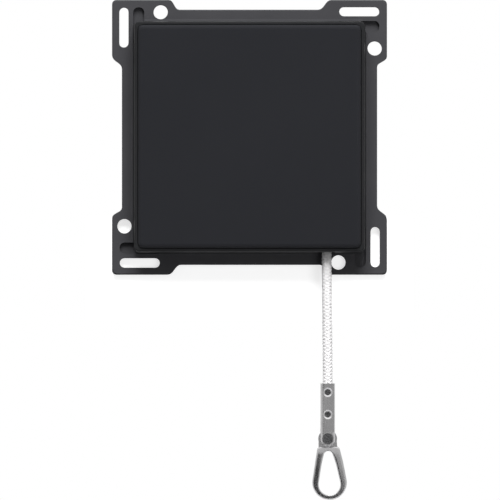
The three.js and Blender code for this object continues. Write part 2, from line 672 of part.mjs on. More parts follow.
// Contacts: a springy blade that the cam presses down, and a fixed strip under its tip.
function contactBlade() {
  const left = -TERMINAL_X - BLADE_CLAMP / 2;
  const strip = alongY(box2(left, BLADE_RIGHT, BLADE_BOTTOM, BLADE_TOP), CONTACT_BACK, CONTACT_FRONT);
  return cutAll(strip, [
    uprightBar(-TERMINAL_X, RIVET_RADIUS + GAP, BLADE_BOTTOM - GAP, BLADE_TOP + GAP),
    uprightBar(TIP_X, TIP_RADIUS / 2 + RUN_GAP, BLADE_BOTTOM - GAP, BLADE_TOP + GAP),
  ]);
}

function uprightBar(x, radius, zLow, zHigh) {
  return alongZ(circle(x, CONTACT_MID, radius, SMALL_STEPS), zLow, zHigh);
}

function movingTip() {
  const head = uprightBar(TIP_X, TIP_RADIUS, BLADE_BOTTOM - TIP_HEIGHT, BLADE_BOTTOM);
  return head.add(uprightBar(TIP_X, TIP_RADIUS / 2, BLADE_BOTTOM - MERGE, BLADE_TOP));
}

function fixedTip() {
  const head = uprightBar(TIP_X, TIP_RADIUS, FIXED_TOP, FIXED_TOP + TIP_HEIGHT);
  return head.add(uprightBar(TIP_X, TIP_RADIUS / 2, RIGHT_TERMINAL_TOP, FIXED_TOP + MERGE));
}

function fixedContact() {
  const outline = box2(FIXED_LEFT, TERMINAL_X + TERMINAL_HALF, RIGHT_TERMINAL_TOP, FIXED_TOP);
  return cutAll(alongY(outline, CONTACT_BACK, CONTACT_FRONT), [
    uprightBar(TERMINAL_X, RIVET_RADIUS + GAP, RIGHT_TERMINAL_TOP - GAP, FIXED_TOP + GAP),
    uprightBar(TIP_X, TIP_RADIUS / 2 + RUN_GAP, RIGHT_TERMINAL_TOP - GAP, FIXED_TOP + GAP),
  ]);
}

function rivet(x, underHead, terminalTop) {
  const head = uprightBar(x, RIVET_HEAD_RADIUS, underHead, underHead + RIVET_HEAD_HEIGHT);
  return head.add(uprightBar(x, RIVET_RADIUS, terminalTop - RIVET_DEPTH, underHead + MERGE));
}

function terminal(x, top) {
  const outline = box2(x - TERMINAL_HALF, x + TERMINAL_HALF, top - TERMINAL_HEIGHT, top);
  const block = alongY(outline, TERMINAL_BACK, TERMINAL_FRONT);
  const screwZ = top - TERMINAL_SCREW_DROP;
  const boreBack = TERMINAL_FRONT + TERMINAL_SCREW_LENGTH + GAP;
  const wireBore = circle(x, WIRE_Y, WIRE_BORE_RADIUS, SMALL_STEPS);
  return cutAll(block, [
    roundBar(x, screwZ, SCREW_HOLE_RADIUS, TERMINAL_FRONT - GAP, boreBack, SMALL_STEPS),
    uprightBar(x, RIVET_RADIUS + GAP, top - RIVET_DEPTH - GAP, top + GAP),
    alongZ(wireBore, top - TERMINAL_HEIGHT - GAP, screwZ),
  ]);
}

// Cord: a plain round run from the knot above the eye down into the clamp.
function pullCord() {
  const route = [
    new THREE.Vector3(CORD_X, CORD_Y, CORD_TOP),
    new THREE.Vector3(CORD_X, CORD_Y, (CORD_TOP - BLOCK_FOOT) / 2),
    new THREE.Vector3(CORD_X, CORD_Y, -BLOCK_FOOT),
    new THREE.Vector3(CORD_X + CORD_DRIFT / 2, CORD_Y, (CLAMP_TOP - BLOCK_FOOT) / 2),
    new THREE.Vector3(HANG_X, CORD_Y, CLAMP_TOP),
    new THREE.Vector3(HANG_X, CORD_Y, CORD_BOTTOM),
  ];
  const section = circle(0, 0, CORD_RADIUS, CORD_SIDES);
  return sweep(section, new THREE.CatmullRomCurve3(route), CORD_STEPS);
}

function cordKnot() {
  const profile = [[0, 0]];
  for (let i = 0; i <= KNOT_STEPS; i += 1) {
    const share = i / KNOT_STEPS;
    const swell = (KNOT_RADIUS - CORD_RADIUS) * Math.sin(Math.PI * share);
    profile.push([CORD_RADIUS + swell, KNOT_HEIGHT * share]);
  }
  profile.push([0, KNOT_HEIGHT]);
  return turnedUp(profile, SMALL_STEPS).translate([CORD_X, CORD_Y, KNOT_BOTTOM]);
}

// Clamp: a flat metal sleeve for the cord, forked round the ring's tongue at its lower end.
function clampSleeve() {
  const section = rounded(HANG_X, CORD_Y, CLAMP_HALF_X, CLAMP_HALF_Y, CLAMP_EDGE);
  const front = [
    new THREE.Vector2(HANG_X + CLAMP_HALF_X, CLAMP_TOP),
    new THREE.Vector2(HANG_X - CLAMP_HALF_X, CLAMP_TOP),
    ...arc(HANG_X, PIVOT_Z, CLAMP_HALF_X, 180, 360, 2 * CORNER_STEPS),
  ];
  const faceY = CORD_Y - CLAMP_HALF_Y;
  const backY = CORD_Y + CLAMP_HALF_Y;
  const body = alongZ(section, PIVOT_Z - CLAMP_HALF_X, CLAMP_TOP).intersect(alongY(front, backY, faceY));
  const bore = circle(HANG_X, CORD_Y, CLAMP_BORE, SMALL_STEPS);
  const width = 2 * CLAMP_HALF_X;
  const fork = box2(HANG_X - width, HANG_X + width, PIVOT_Z - width, FORK_TOP);
  const screwHoles = CLAMP_SCREW_DROPS.map((drop) =>
    roundBar(HANG_X, CLAMP_TOP - drop, CLAMP_SCREW_RADIUS + RUN_GAP, faceY - GAP, CORD_Y, SMALL_STEPS)
  );
  const sink = faceY + PIVOT_HEAD_HEIGHT;
  const seamLow = PIVOT_Z + PIVOT_HEAD_RADIUS + GAP;
  const rightSheet = box2(HANG_X - SEAM_OFFSET, HANG_X + width, seamLow, CLAMP_TOP + GAP);
  return cutAll(body, [
    alongZ(bore, CLAMP_TOP - CLAMP_BORE_DEPTH, CLAMP_TOP + GAP),
    alongY(fork, CORD_Y + FORK_GAP, CORD_Y - FORK_GAP),
    ...screwHoles,
    roundBar(HANG_X, PIVOT_Z, PIVOT_RADIUS + RUN_GAP, faceY - GAP, backY + GAP, SMALL_STEPS),
    roundBar(HANG_X, PIVOT_Z, PIVOT_HEAD_RADIUS + RUN_GAP / 2, faceY - GAP, sink, ROUND_STEPS),
    alongY(rightSheet, faceY + SEAM_STEP, faceY - GAP),
  ]);
}

function clampScrew(drop) {
  const faceY = CORD_Y - CLAMP_HALF_Y;
  const tip = CORD_Y - CORD_RADIUS - GAP;
  const z = CLAMP_TOP - drop;
  return roundBar(HANG_X, z, CLAMP_SCREW_RADIUS, faceY + CLAMP_SCREW_SUNK, tip, SMALL_STEPS);
}

function pivotScrew() {
  const faceY = CORD_Y - CLAMP_HALF_Y;
  const sink = faceY + PIVOT_HEAD_HEIGHT;
  const head = roundBar(HANG_X, PIVOT_Z, PIVOT_HEAD_RADIUS, faceY, sink, ROUND_STEPS);
  const backY = CORD_Y + CLAMP_HALF_Y;
  return head.add(roundBar(HANG_X, PIVOT_Z, PIVOT_RADIUS, sink - PIVOT_HEAD_HEIGHT / 2, backY, SMALL_STEPS));
}

// Ring handle: a rounded drop-shaped loop with a thin tongue between the fork's cheeks.
function dropOutline(topHalf, topDrop, radius, bowDrop, cap) {
  const side = new THREE.QuadraticBezierCurve(
    new THREE.Vector2(radius, -bowDrop),
    new THREE.Vector2(radius, -bowDrop + (bowDrop - topDrop) * RING_EASE),
    new THREE.Vector2(topHalf, -topDrop)
  );
  const right = side.getPoints(CORNER_STEPS);
  const left = mirrored(right);
  const bow = arc(0, -bowDrop, radius, 180, 360, BOW_STEPS);
  return [...right, ...cap, ...left, ...bow.slice(1, -1)];
}

function ringHandle() {
  const shoulder = new THREE.QuadraticBezierCurve(
    new THREE.Vector2(RING_SHOULDER_HALF, -RING_SHOULDER_DROP),
    new THREE.Vector2(TONGUE_RADIUS, RING_SHOULDER_ROUND - RING_SHOULDER_DROP),
    new THREE.Vector2(TONGUE_RADIUS, -RING_NECK_DROP)
  );
  const neck = shoulder.getPoints(CORNER_STEPS).slice(1);
  const outer = dropOutline(RING_SHOULDER_HALF, RING_SHOULDER_DROP, RING_BOW_RADIUS, RING_BOW_DROP, [
    ...neck,
    ...mirrored(neck),
  ]);
  const cap = arc(0, -RING_HOLE_TOP_DROP, RING_HOLE_TOP_RADIUS, 0, 180, SMALL_STEPS / 2).slice(1, -1);
  const hole = dropOutline(
    RING_HOLE_TOP_RADIUS,
    RING_HOLE_TOP_DROP,
    RING_HOLE_BOW_RADIUS,
    RING_HOLE_BOW_DROP,
    cap
  );
  const shape = new THREE.Shape(outer);
  shape.holes.push(new THREE.Path(hole));
  const loop = new THREE.ExtrudeGeometry(shape, {
    depth: RING_THICK - 2 * RING_ROUND,
    bevelThickness: RING_ROUND,
    bevelSize: RING_ROUND,
    bevelOffset: -RING_ROUND,
    bevelSegments: 3,
  });
  loop.translate(0, 0, RING_ROUND - RING_THICK / 2);
  loop.rotateX(Math.PI / 2);
  const clear = CLAMP_HALF_X + GAP;
  const bar = solidOf(loop).subtract(roundBar(0, 0, clear, -RING_THICK, RING_THICK, ROUND_STEPS));
  const neckLow = RING_HOLE_TOP_RADIUS - RING_HOLE_TOP_DROP + RING_ROUND / 2;
  const halfTongue = TONGUE_THICK / 2;
  const neckHalf = TONGUE_RADIUS - RING_ROUND / 2;
  const tongue = joinAll([
    roundBar(0, 0, TONGUE_RADIUS, -halfTongue, halfTongue, ROUND_STEPS),
    alongY(box2(-neckHalf, neckHalf, neckLow, 0), halfTongue, -halfTongue),
  ]);
  const bore = roundBar(0, 0, PIVOT_RADIUS + GAP, -RING_THICK, RING_THICK, SMALL_STEPS);
  const ring = joinAll([bar, tongue]).subtract(bore);
  return ring.rotate([0, -RING_LEAN_DEG, 0]).translate([HANG_X, CORD_Y, PIVOT_Z]);
}

add("mounting_flange", mountingFlange(), "charcoal");
add("cover_plate", coverPlate(), "anthracite");
add("switch_housing", switchHousing(), "insulation");
add("bearing_plate", bearingPlate(), "insulation");
add("pull_lever", leverAndSpindle(), "lever");
add("return_spring", returnSpring(), "steel");
add("switching_cam", switchingCam(), "lever");
const camScrewLength = CAM_BACK - BEARING_THICK - GAP;
add("cam_screw", screw(0, 0, CAM_BACK + 2 * GAP, camScrewLength, SCREW_RADIUS - RUN_GAP, -1), "steel");
add("contact_blade", contactBlade(), "brass");
add("moving_contact_tip", movingTip(), "silver");
add("fixed_contact", fixedContact(), "brass");
add("fixed_contact_tip", fixedTip(), "silver");
add("blade_rivet", rivet(-TERMINAL_X, BLADE_TOP + GAP, LEFT_TERMINAL_TOP), "brass");
add("fixed_contact_rivet", rivet(TERMINAL_X, FIXED_TOP, RIGHT_TERMINAL_TOP), "brass");
for (const [side, x, top] of [
  ["left", -TERMINAL_X, LEFT_TERMINAL_TOP],
  ["right", TERMINAL_X, RIGHT_TERMINAL_TOP],
]) {
  const screwZ = top - TERMINAL_SCREW_DROP;
  add(`terminal_block_${side}`, terminal(x, top), "brass");
  const clampingScrew = screw(x, screwZ, TERMINAL_FRONT, TERMINAL_SCREW_LENGTH, SCREW_RADIUS, 1);
  add(`terminal_screw_${side}`, clampingScrew, "steel");
}
for (const [row, z] of [
  ["upper", BOSS_Z],
  ["lower", -BOSS_Z],
]) {
  for (const [side, x] of [
    ["left", -BOSS_X],
    ["right", BOSS_X],
  ]) {
    add(`insert_screw_${row}_${side}`, screw(x, z, -FLANGE_THICK, SCREW_LENGTH, SCREW_RADIUS, 1), "steel");
  }
}
add("pull_cord", pullCord(), "cord");
add("cord_knot", cordKnot(), "cord");
add("clamp_sleeve", clampSleeve(), "nickel");
add("clamp_screw_upper", clampScrew(CLAMP_SCREW_DROPS[0]), "darkSteel");
add("clamp_screw_lower", clampScrew(CLAMP_SCREW_DROPS[1]), "darkSteel");
add("pivot_screw", pivotScrew(), "darkSteel");
add("ring_handle", ringHandle(), "nickel");

export default model;
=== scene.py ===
# %% [markdown]
# # Cord pull switch
# A dark square switch front with a blank cover plate, and a short white cord that ends in a small
# metal clamp and a ring. The solids come from the CAD model, which holds every piece at its true
# size. Here each visible piece gets its soft edges, its fine form and its finish.

# %% Load the frame
import math

import bmesh
import bpy
from mathutils import Matrix, Vector


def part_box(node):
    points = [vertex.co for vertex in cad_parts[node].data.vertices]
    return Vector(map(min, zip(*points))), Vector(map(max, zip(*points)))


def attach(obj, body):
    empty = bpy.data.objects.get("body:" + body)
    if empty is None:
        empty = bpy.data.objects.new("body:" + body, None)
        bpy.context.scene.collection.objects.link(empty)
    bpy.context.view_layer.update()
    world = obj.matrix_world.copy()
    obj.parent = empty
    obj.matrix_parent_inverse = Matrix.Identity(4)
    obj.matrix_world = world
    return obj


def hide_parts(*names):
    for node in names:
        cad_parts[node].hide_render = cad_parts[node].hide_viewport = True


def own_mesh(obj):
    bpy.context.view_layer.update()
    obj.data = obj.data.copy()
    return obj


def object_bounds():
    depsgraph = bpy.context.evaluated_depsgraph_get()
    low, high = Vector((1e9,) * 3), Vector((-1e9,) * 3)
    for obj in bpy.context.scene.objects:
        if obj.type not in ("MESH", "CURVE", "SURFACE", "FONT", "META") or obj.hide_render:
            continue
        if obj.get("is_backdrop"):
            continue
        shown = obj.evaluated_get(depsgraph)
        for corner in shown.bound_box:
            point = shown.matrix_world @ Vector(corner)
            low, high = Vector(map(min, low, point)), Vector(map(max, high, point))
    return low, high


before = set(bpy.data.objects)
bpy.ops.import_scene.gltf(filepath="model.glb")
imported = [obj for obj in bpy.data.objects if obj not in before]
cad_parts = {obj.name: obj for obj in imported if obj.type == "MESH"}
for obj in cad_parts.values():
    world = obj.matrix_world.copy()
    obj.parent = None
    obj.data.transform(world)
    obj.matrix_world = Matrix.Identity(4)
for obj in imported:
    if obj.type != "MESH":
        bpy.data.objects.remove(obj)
cad_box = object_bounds()
print("CAD box", [tuple(round(v, 4) for v in corner) for corner in cad_box])

# %% [markdown]
# ## Camera
# The photo looks straight at the front, from far away, so that the block's walls hardly show. A
# long lens does the same. Its distance follows from the width of the view, 103.6 mm, at the depth
# of the cover plate.


# %% Camera
def linked(name, data):
    """A new object that holds the data, linked to the scene."""
    item = bpy.data.objects.new(name, data)
    bpy.context.scene.collection.objects.link(item)
    return item


MM = 0.001
VIEW_WIDTH = 103.6 * MM
VIEW_MIDDLE = (0.1 * MM, -5.0 * MM, -23.45 * MM)
SENSOR = 36.0
LENS = 300.0
photo_view = bpy.data.cameras.new("photo_view")
photo_view.lens = LENS
photo_view.sensor_width = SENSOR
photo_view.clip_start = 0.01
photo_view.clip_end = 10.0
camera = linked("photo_view", photo_view)
reach = VIEW_WIDTH * LENS / SENSOR
camera.location = (VIEW_MIDDLE[0], VIEW_MIDDLE[1] - reach, VIEW_MIDDLE[2])
camera.rotation_euler = (math.pi / 2, 0, 0)
bpy.context.scene.camera = camera
bpy.context.scene.view_settings.view_transform = "Standard"
print("camera stands", round(reach, 3), "m away")

# %% [markdown]
# ## Helpers for node trees
# Geometry and shader trees are both built in code. Short helpers keep that readable: one makes a
# node with its settings, one joins two sockets, and the others are a sum, a smooth ramp, a choice
# between two numbers and a mix of two colours.


# %% Helpers for node trees
def put(tree, kind, inputs=None, **settings):
    node = tree.nodes.new(kind)
    for name, value in settings.items():
        setattr(node, name, value)
    for socket, value in (inputs or {}).items():
        node.inputs[socket].default_value = value
    return node


def wire(tree, start, end, out=0, into=0):
    tree.links.new(start.outputs[out], end.inputs[into])


def sums(tree, operation, first, second, out=0):
    """A Math node on an output and either a number or another node's output."""
    node = put(tree, "ShaderNodeMath", operation=operation)
    tree.links.new(first.outputs[out], node.inputs[0])
    if isinstance(second, (int, float)):
        node.inputs[1].default_value = second
    else:
        tree.links.new(second.outputs[0], node.inputs[1])
    return node


# %% Helpers for ramps and mixes
RAMP_SOCKETS = ("From Min", "From Max", "To Min", "To Max")


def grade(tree, source, low, high, start, end, out=0):
    """A smooth ramp: start where the source is low, end where it is high."""
    node = put(tree, "ShaderNodeMapRange", interpolation_type="SMOOTHSTEP")
    tree.links.new(source.outputs[out], node.inputs["Value"])
    for name, value in zip(RAMP_SOCKETS, (low, high, start, end)):
        node.inputs[name].default_value = value
    return node


def choose(tree, picker, off, on, out=0):
    """A number mix: off where the picker is 0, on where it is 1."""
    node = put(tree, "ShaderNodeMix", data_type="FLOAT")
    tree.links.new(picker.outputs[out], node.inputs[0])
    for slot_at, value in ((2, off), (3, on)):
        if isinstance(value, (int, float)):
            node.inputs[slot_at].default_value = value
        else:
            tree.links.new(value.outputs[0], node.inputs[slot_at])
    return node


def colours(tree, picker, first, second, blend="MIX"):
    """A colour mix. Each argument is an output socket or a plain value."""
    node = put(tree, "ShaderNodeMix", data_type="RGBA", blend_type=blend)
    for socket, value in ((0, picker), ("A", first), ("B", second)):
        if isinstance(value, bpy.types.NodeSocket):
            tree.links.new(value, node.inputs[socket])
        else:
            node.inputs[socket].default_value = value
    return node.outputs["Result"]


# %% [markdown]
# ## Room and lamps
# The product stands before pure white. A large soft lamp above and in front gives most of the
# light. A weak fill from low in front and a rim lamp behind keep the sides from going black, and
# the block still shades the flange and the cord's start. Metal mirrors only the room: white
# behind, light above, dark below and lighter again to both sides. The two front lamps don't show
# in mirror images, where they would leave hard white squares.

# %% Room
room = bpy.data.worlds.new("studio_room")
room.use_nodes = True
bpy.context.scene.world = room
tree = room.node_tree
tree.nodes.clear()
way = put(tree, "ShaderNodeTexCoord")
parts = put(tree, "ShaderNodeSeparateXYZ")
wire(tree, way, parts, "Generated")
lean_right = sums(tree, "MULTIPLY", parts, 0.8)
lean_left = sums(tree, "SUBTRACT", sums(tree, "MULTIPLY", parts, -0.8), 0.15)
lean = sums(tree, "MAXIMUM", lean_right, lean_left)
height = put(tree, "ShaderNodeMath", operation="ADD")
tree.links.new(lean.outputs[0], height.inputs[0])
tree.links.new(parts.outputs["Z"], height.inputs[1])
front = grade(tree, height, -0.12, 0.03, 0.02, 0.74)
behind = grade(tree, parts, -0.1, 0.1, 0.0, 1.0, "Y")
overhead = grade(tree, parts, 0.4, 0.7, 0.0, 0.7, "Z")
front = sums(tree, "ADD", front, overhead)
mirrored_room = choose(tree, behind, front, 1.0)
soft = grade(tree, parts, -0.5, 0.8, 0.06, 0.5, "Z")
rays = put(tree, "ShaderNodeLightPath")
shiny = put(tree, "ShaderNodeMath", operation="MAXIMUM")
tree.links.new(rays.outputs["Is Glossy Ray"], shiny.inputs[0])
tree.links.new(rays.outputs["Is Transmission Ray"], shiny.inputs[1])
level = choose(tree, shiny, soft, mirrored_room)
seen = choose(tree, rays, level, 1.0, "Is Camera Ray")
backdrop = put(tree, "ShaderNodeBackground")
backdrop.inputs["Color"].default_value = (1, 1, 1, 1)
wire(tree, seen, backdrop, into="Strength")
wire(tree, backdrop, put(tree, "ShaderNodeOutputWorld"))
print("room has", len(tree.nodes), "nodes")


# %% Lamps
def lamp(name, place, target, size, watts, mirrored=True):
    light = bpy.data.lights.new(name, "AREA")
    light.shape = "SQUARE"
    light.size = size
    light.energy = watts
    stand = linked(name, light)
    stand.location = place
    stand.rotation_euler = (Vector(target) - Vector(place)).to_track_quat("-Z", "Y").to_euler()
    stand.visible_glossy = mirrored
    return stand


lamps = [
    lamp("soft_lamp_above", (0, -0.5, 0.58), (0, 0, -0.02), 0.42, 10.3, mirrored=False),
    lamp("front_fill", (0.5, -1.15, -0.1), (0, 0, -0.03), 0.5, 3.6, mirrored=False),
    lamp("rim_lamp_behind", (-0.1, 0.6, 0.4), (0, 0, -0.02), 0.4, 2.0),
]
print("lamps", [stand.name for stand in lamps])

# %% [markdown]
# A round sheet of paper lies well below the ring, out of the photo's frame. It gives views from
# above some ground. It sends little light up, because the photo's lower faces are dark.

# %% Floor
FLOOR_Z = -0.15
FLOOR_RADIUS = 0.22
floor_mesh = bpy.data.meshes.new("pale_floor")
disc = bmesh.new()
bmesh.ops.create_circle(disc, cap_ends=True, segments=96, radius=FLOOR_RADIUS)
disc.to_mesh(floor_mesh)
disc.free()
floor_mesh.transform(Matrix.Translation((0, 0, FLOOR_Z)))
floor = linked("pale_floor", floor_mesh)
paper = bpy.data.materials.new("pale_paper")
paper.use_nodes = True
tree = paper.node_tree
shader = tree.nodes["Principled BSDF"]
rays = put(tree, "ShaderNodeLightPath")
pale = colours(tree, rays.outputs["Is Diffuse Ray"], (0.62, 0.62, 0.63, 1), (0.14, 0.14, 0.145, 1))
tree.links.new(pale, shader.inputs["Base Color"])
shader.inputs["Roughness"].default_value = 0.9
floor_mesh.materials.append(paper)
floor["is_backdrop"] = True
print("floor at", FLOOR_Z)

# %% [markdown]
# The front rests against a white wall. Only the strip below the flange and round its lower corner
# holes shows in the photo, by the soft shadow that the flange throws on it. A small sheet just
# behind the flange catches that shadow. It glows nearly white towards the front, so that it melts
# into the white room, and it can't be seen from behind.

# %% Sheet that catches the shadow
sheet_mesh = bpy.data.meshes.new("wall_sheet")
LEFT, RIGHT, LOW, HIGH, BEHIND = -34 * MM, 34 * MM, -38 * MM, -16.5 * MM, 0.15 * MM
corners = [(LEFT, BEHIND, LOW), (RIGHT, BEHIND, LOW), (RIGHT, BEHIND, HIGH), (LEFT, BEHIND, HIGH)]
sheet_mesh.from_pydata(corners, [], [(0, 1, 2, 3)])
sheet = linked("wall_sheet", sheet_mesh)
white_wall = bpy.data.materials.new("white_wall")
white_wall.use_nodes = True
tree = white_wall.node_tree
shader = tree.nodes["Principled BSDF"]
for key, value in (
    ("Base Color", (0.6, 0.6, 0.6, 1)),
    ("Roughness", 1.0),
    ("Specular IOR Level", 0.0),
    ("Emission Color", (1, 1, 1, 1)),
    ("Emission Strength", 0.7),
):
    shader.inputs[key].default_value = value
side = put(tree, "ShaderNodeNewGeometry")
see_through = put(tree, "ShaderNodeBsdfTransparent")
either = put(tree, "ShaderNodeMixShader")
rays = put(tree, "ShaderNodeLightPath")
not_camera = sums(tree, "SUBTRACT", rays, 1.0, 0)
hidden = put(tree, "ShaderNodeMath", operation="MAXIMUM")
wire(tree, side, hidden, "Backfacing")
wire(tree, sums(tree, "ABSOLUTE", not_camera, 0), hidden, into=1)
wire(tree, hidden, either)
wire(tree, shader, either, into=1)
wire(tree, see_through, either, into=2)
wire(tree, either, tree.nodes["Material Output"])
sheet_mesh.materials.append(white_wall)
sheet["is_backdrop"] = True
print("sheet stands", BEHIND * 1000, "mm behind the flange")

# %% [markdown]
# ## Pull cord
# A thin white braid of polyester yarns over a core. It is 63.6 mm long from its stopper knot above
# the lever's eye down into the clamp. The braid could be a bump on a tube, but its stitches show
# at both sides of the cord against the light. So a geometry node tree winds eight yarns round the
# cord's line, four each way, and lets them pass over and under each other.

# %% Line of the cord
CORD_X = 16.0 * MM
CORD_Y = -4.2 * MM
CORD_TOP = 4.64 * MM
BLOCK_BOTTOM = -24.1 * MM
CLAMP_TOP = -51.1 * MM
CORD_END = -59.0 * MM
CORD_DRIFT = 0.2 * MM


def cord_point(z):
    share = min(max((BLOCK_BOTTOM - z) / (BLOCK_BOTTOM - CLAMP_TOP), 0), 1)
    ease = share * share * (3 - 2 * share)
    return (CORD_X + CORD_DRIFT * ease, CORD_Y, z)


STATIONS = 40
cord_step = (CORD_END - CORD_TOP) / STATIONS
cord_line = [cord_point(CORD_TOP + cord_step * i) for i in range(STATIONS + 1)]


# %% Start and end of a geometry tree
def new_tree(name, source, result, **sizes):
    """A geometry node tree with named inputs, and its input node."""
    tree = bpy.data.node_groups.new(name, "GeometryNodeTree")
    face = tree.interface
    face.new_socket(source, in_out="INPUT", socket_type="NodeSocketGeometry")
    for key, value in sizes.items():
        kind = "NodeSocketInt" if isinstance(value, int) else "NodeSocketFloat"
        socket = face.new_socket(key.replace("_", " "), in_out="INPUT", socket_type=kind)
        socket.default_value = value
    face.new_socket("Finish", in_out="INPUT", socket_type="NodeSocketMaterial")
    face.new_socket(result, in_out="OUTPUT", socket_type="NodeSocketGeometry")
    return tree, put(tree, "NodeGroupInput")


def end_tree(tree, given, source, out=0):
    """Makes the instances real, sets the finish and joins the output."""
    real = put(tree, "GeometryNodeRealizeInstances")
    wire(tree, source, real, out)
    dressed_up = put(tree, "GeometryNodeSetMaterial")
    wire(tree, real, dressed_up)
    wire(tree, given, dressed_up, "Finish", "Material")
    wire(tree, dressed_up, put(tree, "NodeGroupOutput"))
    print(tree.name, "has", len(tree.nodes), "nodes")
    return tree


# %% Way of the yarns
def yarn_shift(tree, given, yarns):
    """How far a yarn lies off the cord's line: round it, and over and under its neighbours."""
    one = {"out": "Duplicate Index"}
    odd = sums(tree, "MODULO", yarns, 2, **one)
    side = sums(tree, "SUBTRACT", sums(tree, "MULTIPLY", odd, 2), 1)
    pair = sums(tree, "FLOOR", sums(tree, "DIVIDE", yarns, 2, **one), 0)
    start = sums(tree, "MULTIPLY", pair, math.pi / 2)
    along = put(tree, "GeometryNodeSplineParameter")
    turn = put(tree, "ShaderNodeMath", operation="DIVIDE")
    wire(tree, along, turn, "Length")
    wire(tree, given, turn, "Helix Pitch", 1)
    turn = sums(tree, "MULTIPLY", turn, 2 * math.pi)
    angle = sums(tree, "ADD", sums(tree, "MULTIPLY", turn, side), start)
    wave = sums(tree, "MULTIPLY", sums(tree, "COSINE", sums(tree, "MULTIPLY", turn, 4), 0), side)
    ripple = put(tree, "ShaderNodeMath", operation="MULTIPLY_ADD")
    wire(tree, wave, ripple)
    wire(tree, given, ripple, "Ripple", 1)
    wire(tree, given, ripple, "Braid Radius", 2)
    tangent = put(tree, "GeometryNodeInputTangent")
    across = put(tree, "ShaderNodeVectorMath", operation="CROSS_PRODUCT")
    wire(tree, tangent, across)
    across.inputs[1].default_value = (0, 1, 0)
    ahead = put(tree, "ShaderNodeVectorMath", operation="CROSS_PRODUCT")
    wire(tree, across, ahead)
    wire(tree, tangent, ahead, into=1)
    shift = put(tree, "ShaderNodeVectorMath", operation="ADD")
    for place, (direction, wheel) in enumerate(((across, "COSINE"), (ahead, "SINE"))):
        amount = sums(tree, "MULTIPLY", sums(tree, wheel, angle, 0), ripple)
        scaled = put(tree, "ShaderNodeVectorMath", operation="SCALE")
        wire(tree, direction, scaled)
        wire(tree, amount, scaled, into="Scale")
        wire(tree, scaled, shift, into=place)
    return shift


# %% Braid tree
def braid_tree():
    tree, given = new_tree(
        "braid_of_yarns",
        "Line",
        "Braid",
        Braid_Radius=0.70 * MM,
        Yarn_Radius=0.33 * MM,
        Ripple=0.02 * MM,
        Helix_Pitch=2.92 * MM,
        Core_Radius=0.965 * MM,
        Steps=400,
    )
    line = put(tree, "GeometryNodeResampleCurve", mode="COUNT")
    wire(tree, given, line, "Line", "Curve")
    wire(tree, given, line, "Steps", "Count")
    yarns = put(tree, "GeometryNodeDuplicateElements", {"Amount": 8}, domain="SPLINE")
    wire(tree, line, yarns, "Curve", "Geometry")
    shift = yarn_shift(tree, given, yarns)
    moved = put(tree, "GeometryNodeSetPosition")
    wire(tree, yarns, moved, "Geometry", "Geometry")
    wire(tree, shift, moved, into="Offset")
    whole = put(tree, "GeometryNodeJoinGeometry")
    for source, radius, sides in ((moved, "Yarn Radius", 8), (line, "Core Radius", 12)):
        ring = put(tree, "GeometryNodeCurvePrimitiveCircle", {"Resolution": sides}, mode="RADIUS")
        wire(tree, given, ring, radius, "Radius")
        tube = put(tree, "GeometryNodeCurveToMesh", {"Fill Caps": True})
        wire(tree, source, tube, into="Curve")
        wire(tree, ring, tube, "Curve", "Profile Curve")
        wire(tree, tube, whole)
    smooth = put(tree, "GeometryNodeSetShadeSmooth")
    wire(tree, whole, smooth)
    return end_tree(tree, given, smooth)


braid = braid_tree()


# %% Turn a tree's result into a plain mesh
def grown(name, source, tree, **values):
    """Runs a tree on an object with named inputs, and returns the result as a plain mesh object."""
    modifier = source.modifiers.new(tree.name, "NODES")
    modifier.node_group = tree
    sockets = {s.name: s.identifier for s in tree.interface.items_tree if s.in_out == "INPUT"}
    for key, value in values.items():
        modifier[sockets[key.replace("_", " ")]] = value
    if source.name not in bpy.context.scene.collection.objects:
        bpy.context.scene.collection.objects.link(source)
    ready = source.evaluated_get(bpy.context.evaluated_depsgraph_get())
    mesh = bpy.data.meshes.new_from_object(ready)
    mesh.name = name
    bpy.data.objects.remove(source)
    piece = linked(name, mesh)
    print(name, len(mesh.polygons), "faces")
    return piece


def line_object(points, closed=False):
    curve = bpy.data.curves.new("line", "CURVE")
    curve.dimensions = "3D"
    spline = curve.splines.new("POLY")
    spline.points.add(len(points) - 1)
    for at, point in zip(spline.points, points):
        at.co = (*point, 1)
    spline.use_cyclic_u = closed
    return bpy.data.objects.new("line", curve)


# %% [markdown]
# ## Finishes
# Every finish is procedural and reads Object coordinates, so it stays in place in any pose. The
# common base is a cloudy change of tone, a finer grain that changes the roughness, and a bump of
# the same grain. Each finish then gets its own sizes, in metres, and its own extras.


# %% Base of a finish
NOISE_RANGE = (0.3, 0.7)


